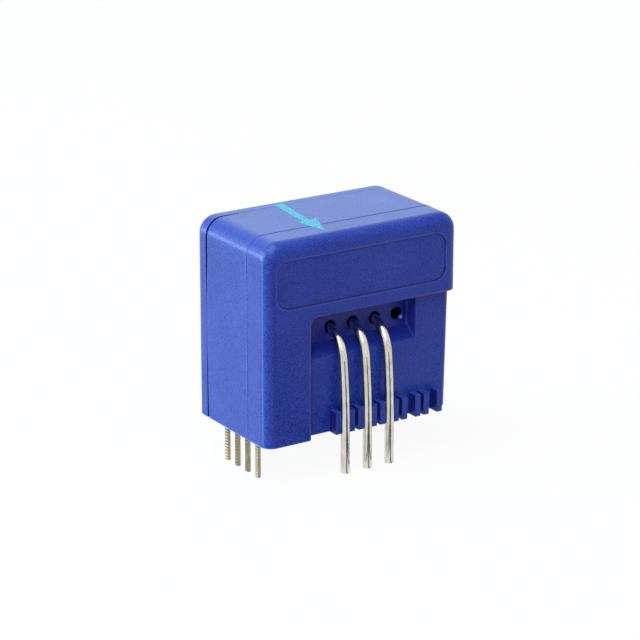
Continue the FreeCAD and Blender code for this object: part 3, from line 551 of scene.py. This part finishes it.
def plasticFinish(look):
    finish = Finish("casePlastic", roughness=0.4, specular=0.4)
    finish.give("Sheen Weight", 0.09)
    finish.give("Sheen Roughness", 0.4)
    fine = finish.grain(look["grainSize"], detail=3.0, rough=0.6)
    pits = finish.cells(look["grainSize"] * 1.7)
    flow = finish.grain(look["flowSize"], detail=1.0)
    pocket, sill, wall = pocketShares(finish, look)
    rim, corner = panelShares(finish, look)
    bore = boreShare(finish, look)
    softened = finish.softEdges(wall * (look["wallRadius"] * mm) + look["edgeRadius"] * mm)
    softened = finish.mixVector(ridgeShare(finish, look), softened, (-1.0, 0.0, 0.0))
    worn = wearAndHighlightShare(finish, look, softened, rim)

    # Each layer lies over those before it.
    layers = [
        (pocket, look["pocketShadeTone"]),
        (sill, look["sillShadeTone"]),
        (combShadeShare(finish, look), look["combShadeTone"]),
        (worn, look["edgeWearAndHighlightTone"]),
        (footLightShare(finish, look), look["footLightTone"]),
        (corner, shaded(look["tone"], look["panelShade"])),
        (inkShare(finish, look), look["inkTone"]),
        (seamShare(finish, look), shaded(look["tone"], look["seamShade"])),
        (bore, shaded(look["tone"], look["boreShade"])),
        (glintShare(finish, look), look["glintTone"]),
    ]
    clouds = fine * (1.0 - look["flowShare"]) + flow * look["flowShare"]
    tone = finish.ramp(finish.spread(clouds, 0.38, 0.62), [
        (0.0, look["deepTone"]), (0.5, look["tone"]), (1.0, look["paleTone"])])
    for share, colour in layers:
        tone = finish.mix(share, tone, colour)
    finish.give("Base Color", tone)
    smooth, coarse = look["grainGloss"]
    rough = finish.spread(fine, 0.35, 0.65, smooth, coarse) - look["polish"] * worn
    finish.give("Roughness", rough * (1.0 - bore) + look["boreGloss"] * bore)
    height = (fine + 0.6 * pits) * (1.0 - bore)
    finish.give("Normal", finish.bump(height, look["grainHeight"], 0.8, softened))
    return finish


dress(plasticFinish(casePlastic), "main_case", "rear_cover")
print("case dressed")


# Conductors: tinned copper wire, drawn and bent

conductorWire = {
    "tone": (0.84, 0.82, 0.75),
    "dullTone": (0.52, 0.50, 0.43),
    "lineSize": 0.07,
    "lineHeight": 0.004,
    "tipRound": 0.10,         # millimetres taken off the cut ends' corners
}
conductors = [f"primary_conductor_{number}" for number in (1, 2, 3)]


def wireFinish(look):
    finish = Finish("tinnedWire", roughness=0.26, metallic=1.0)
    lines = finish.grain(look["lineSize"], detail=2.0, stretch=(1, 1, 0.08))
    clouds = finish.grain(1.1, detail=3.0)
    finish.give("Base Color", finish.mix(
        finish.spread(lines * 0.5 + clouds * 0.5, 0.35, 0.7), look["dullTone"], look["tone"]))
    finish.give("Roughness", finish.spread(clouds, 0.3, 0.7, 0.13, 0.24))
    finish.give("Normal", finish.bump(lines, look["lineHeight"], 0.6))
    return finish


def roundTips(look):
    for name in conductors:
        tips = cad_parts[name].modifiers.new("tipRound", "BEVEL")
        tips.limit_method = "ANGLE"
        tips.angle_limit = math.radians(50)
        tips.width = look["tipRound"] * mm
        tips.segments = 3


tinned = wireFinish(conductorWire)
dress(tinned, *conductors)
roundTips(conductorWire)
print("conductors dressed")


# Secondary pins: flat blades with slanted ribs on their broad faces, brassy on the others

pinMetal = {
    "silver": (0.86, 0.78, 0.66),
    "notch": (0.050, 0.045, 0.038),     # painted shade between the ribs
    "brass": (0.47, 0.40, 0.25),
    "brassDark": (0.28, 0.22, 0.10),
    "innerShade": 0.55,                 # painted shade: the two pins in the middle are darker
    "pitch": 0.31,            # millimetres from one rib to the next
    "slant": 0.08,            # how much a rib rises across the face
    "ribHeight": 0.035,
    "ribWidth": 0.165,
    "sink": 0.02,
    "margin": 0.12,
}
pins = [f"secondary_pin_{number}" for number in (1, 2, 3, 4)]


def pinFinish(look):
    finish = Finish("pinMetal", roughness=0.35, metallic=1.0)
    x, y, z = finish.axes()
    nx, ny, nz = finish.facing()
    low, high = boxOf("secondary_pin_1")
    second, last = boxOf("secondary_pin_2")[0], boxOf("secondary_pin_4")[0]
    middle, half = (low[0] + high[0]) / 2, (high[0] - low[0]) / 2
    step = abs(second[1] - low[1])
    across = ((y - low[1]) / step + 8.0).maths("FRACT") * step
    rise = across * (look["slant"] / (high[1] - low[1]))
    turn = ((z - low[2] - look["margin"] - rise) / look["pitch"] + 1.0).maths("FRACT")
    crest = turn < look["ribWidth"] / look["pitch"]
    narrow = finish.spread(abs(ny), 0.6, 0.8) * (abs(x - middle) < half + 0.001)
    inner = abs(y - (low[1] + last[1]) / 2 - (high[1] - low[1]) / 2) < step
    specks = finish.spread(finish.grain(0.16, detail=3.0), 0.4, 0.62)
    stain = finish.spread(finish.grain(1.4, detail=1.0), 0.4, 0.6, 0.75, 1.0)
    brass = finish.mix(specks, look["brass"], look["brassDark"])
    silver = finish.mix(inner, look["silver"], shaded(look["silver"], look["innerShade"]))
    silver = finish.mix(crest * stain, look["notch"], silver)
    # Darker towards the top, near the body.
    brass = finish.mix(finish.spread(z, -0.9, -0.1), brass, look["brassDark"])
    finish.give("Base Color", finish.mix(narrow, silver, brass))
    finish.give("Roughness", finish.spread(finish.grain(0.2), 0.3, 0.7, 0.28, 0.45))
    finish.give("Normal", finish.bump(specks, 0.006, 0.6))
    return finish


# Slanted ribs on the left and right faces of a pin, each with a flat crest and sloping sides.
def addRibs(number, finish, look):
    low, high = boxOf(f"secondary_pin_{number}")
    build = bmesh.new()
    count = int((-look["margin"] - low[2] - look["slant"] - look["margin"]) / look["pitch"])
    for side, face in ((-1, low[0]), (1, high[0])):
        inner, crest = face - side * look["sink"], face + side * look["ribHeight"]
        for index in range(count):
            base = low[2] + look["margin"] + index * look["pitch"]
            rings = []
            for y, rise in ((low[1], 0.0), (high[1], look["slant"])):
                foot = base + rise
                profile = [(inner, foot), (crest, foot + look["ribWidth"] * 0.3),
                           (crest, foot + look["ribWidth"] * 0.7), (inner, foot + look["ribWidth"])]
                rings.append([build.verts.new((x * mm, y * mm, z * mm)) for x, z in profile])
            first, last = rings
            for a in range(4):
                b = (a + 1) % 4
                build.faces.new((first[a], first[b], last[b], last[a]))
            build.faces.new(first[::-1])
            build.faces.new(last)
    bmesh.ops.recalc_face_normals(build, faces=build.faces[:])
    mesh = bpy.data.meshes.new(f"pin_ribs_{number}")
    build.to_mesh(mesh)
    build.free()
    addPiece(f"pin_ribs_{number}", mesh, finish)


pinSurface = pinFinish(pinMetal)
dress(pinSurface, *pins)
for number in (1, 2, 3, 4):
    addRibs(number, pinSurface, pinMetal)
print("pins dressed")


# Arrow on the top: a thin layer of pale ink

flowArrow = {
    "tail": ((-2.927, 4.778), (-1.939, 4.887)),     # left and right corners, millimetres
    "neck": ((-3.600, -1.285), (-2.778, -1.139)),
    "barbs": ((-4.133, -1.299), (-1.979, -1.174)),
    "tip": (-3.451, -5.057),
    "layer": 0.028,
    "sink": 0.004,
    "tone": (0.10, 0.62, 0.74),
    "worn": (0.012, 0.24, 0.50),
}


def inkFinish(look):
    finish = Finish("arrowInk", roughness=0.5, specular=0.3)
    specks = finish.grain(0.16, detail=3.0, rough=0.7)
    finish.give("Base Color", finish.mix(finish.spread(specks, 0.42, 0.6),
                                         look["worn"], look["tone"]))
    finish.give("Normal", finish.bump(specks, 0.008, 0.7))
    return finish


def addArrow(look):
    top = boxOf("rear_cover")[1][2]
    low, high = top - look["sink"], top + look["layer"]
    (neckLeft, neckRight), (barbLeft, barbRight) = look["neck"], look["barbs"]
    outline = [look["tail"][0], neckLeft, barbLeft, look["tip"], barbRight, neckRight,
               look["tail"][1]]
    count = len(outline)
    corners = [(x * mm, y * mm, z * mm) for z in (low, high) for x, y in outline]
    plates = [(0, 1, 5, 6), (1, 2, 3), (1, 3, 5), (5, 3, 4)]
    faces = [tuple(index + count for index in plate) for plate in plates]
    faces += [plate[::-1] for plate in plates]
    for index in range(count):
        after = (index + 1) % count
        faces.append((index, index + count, after + count, after)[::-1])
    mesh = bpy.data.meshes.new("flow_arrow")
    mesh.from_pydata(corners, [], faces)
    mesh.validate()
    addPiece("flow_arrow", mesh, inkFinish(look))


addArrow(flowArrow)
print("arrow printed")


# Inside: circuit board

boardLook = {
    "mask": srgb(22, 84, 48),
    "maskDark": srgb(16, 66, 38),
    "laminate": srgb(168, 158, 104),
    "traceSize": 1.3,
}


def boardFinish(look):
    finish = Finish("boardLaminate", roughness=0.4, specular=0.5)
    nx, ny, nz = finish.facing()
    traces = finish.node("ShaderNodeTexBrick", {"offset": 0.5}, {
        "Vector": finish.place((0, 1, 1)), "Scale": 1.0 / look["traceSize"],
        "Mortar Size": 0.03, "Color1": look["mask"], "Color2": look["mask"],
        "Mortar": look["maskDark"]})
    fibres = finish.grain(0.1, detail=1.0, stretch=(0.1, 1, 1))
    edge = finish.mix(finish.spread(fibres, 0.35, 0.65), look["laminate"],
                      shaded(look["laminate"], 0.7))
    finish.give("Base Color", finish.mix(finish.spread(abs(nx), 0.4, 0.6), edge, traces))
    finish.give("Normal", finish.bump(fibres, 0.01, 0.4))
    return finish


dress(boardFinish(boardLook), "circuit_board")
print("board dressed")


# Core of stacked sheets

coreLook = {"tone": (0.5, 0.49, 0.48), "gapTone": (0.12, 0.12, 0.12), "sheet": 0.2}


def coreFinish(look):
    finish = Finish("laminatedCore", roughness=0.4, metallic=1.0)
    x, y, z = finish.axes()
    sheets = abs((y / look["sheet"]).maths("FRACT") - 0.5)
    gap = finish.spread(sheets, 0.4, 0.5)
    finish.give("Base Color", finish.mix(gap, look["tone"], look["gapTone"]))
    finish.give("Roughness", finish.spread(finish.grain(0.4), 0.3, 0.7, 0.32, 0.5))
    finish.give("Normal", finish.bump(1.0 - gap, 0.02, 0.6))
    return finish


dress(coreFinish(coreLook), "core_half_upper", "core_half_lower")
print("core dressed")


# Bobbins, their turns of enamelled wire and their terminals

bobbinLook = {"tone": srgb(214, 208, 190), "shade": srgb(196, 188, 166)}
windingLook = {"tone": (0.62, 0.25, 0.09), "gapTone": (0.16, 0.05, 0.02), "wire": 0.12}


def bobbinFinish(look):
    finish = Finish("bobbinPlastic", roughness=0.5, specular=0.4)
    fine = finish.grain(0.2, detail=3.0)
    finish.give("Base Color", finish.mix(finish.spread(fine, 0.35, 0.65),
                                         look["tone"], look["shade"]))
    finish.give("Normal", finish.bump(fine, 0.006, 0.5))
    return finish


def windingFinish(look):
    finish = Finish("enamelledTurns", roughness=0.3, metallic=1.0)
    x, y, z = finish.axes()
    turn = abs((x / look["wire"]).maths("FRACT") - 0.5)
    finish.give("Base Color", finish.mix(finish.spread(turn, 0.3, 0.5),
                                         look["tone"], look["gapTone"]))
    finish.give("Roughness", finish.spread(finish.grain(0.5), 0.3, 0.7, 0.22, 0.38))
    finish.give("Normal", finish.bump(1.0 - turn, 0.05, 0.9))
    finish.give("Coat Weight", 0.4)
    return finish


dress(bobbinFinish(bobbinLook), "coil_bobbin_upper", "coil_bobbin_lower")
dress(windingFinish(windingLook), "compensation_winding_upper", "compensation_winding_lower")
dress(tinned, *[f"coil_terminal_{level}_{end}"
                for level in ("upper", "lower") for end in ("front", "back")])
print("coils dressed")


# Packages: moulded or ceramic within a box, tinned metal outside it

farEnd = 100.0
leadTone = (0.66, 0.65, 0.62)
packageLooks = {
    "hall_element": {"body": (0.022, 0.022, 0.024), "length": 2.0},
    "signal_chip": {"body": (0.022, 0.022, 0.024), "width": 1.6},
    "filter_capacitor": {"body": srgb(150, 118, 86), "cap": 0.2},
    "gain_resistor": {"body": (0.03, 0.03, 0.034), "cap": 0.2},
    "measuring_resistor": {"body": (0.03, 0.03, 0.034), "cap": 0.2},
}


def packageFinish(name, axisIndex, start, stop, body):
    finish = Finish(name + "Package", roughness=0.5)
    along = finish.axes()[axisIndex]
    inside = (along > start) * (along < stop)
    fine = finish.spread(finish.grain(0.12, detail=2.0), 0.3, 0.7)
    moulded = finish.mix(fine, body, shaded(body, 1.8))
    metal = finish.mix(fine, leadTone, shaded(leadTone, 0.8))
    finish.give("Base Color", finish.mix(inside, metal, moulded))
    finish.give("Metallic", 1.0 - inside)
    finish.give("Roughness", inside * 0.25 + 0.3)
    finish.give("Normal", finish.bump(fine, 0.006, 0.5))
    return finish


def dressPackages():
    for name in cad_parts:
        kind = next((kind for kind in packageLooks if name.startswith(kind)), None)
        if kind is None:
            continue
        look = packageLooks[kind]
        low, high = boxOf(name)
        axisIndex, start, stop = 1, -farEnd, farEnd
        if "length" in look:
            axisIndex, start = 0, high[0] - look["length"]
        elif "width" in look:
            middle = (low[1] + high[1]) / 2
            start, stop = middle - look["width"] / 2, middle + look["width"] / 2
        else:
            cap = (high[1] - low[1]) * look["cap"]
            start, stop = low[1] + cap, high[1] - cap
        dress(packageFinish(name, axisIndex, start, stop, look["body"]), name)


dressPackages()
print("packages dressed")


print("scene built")
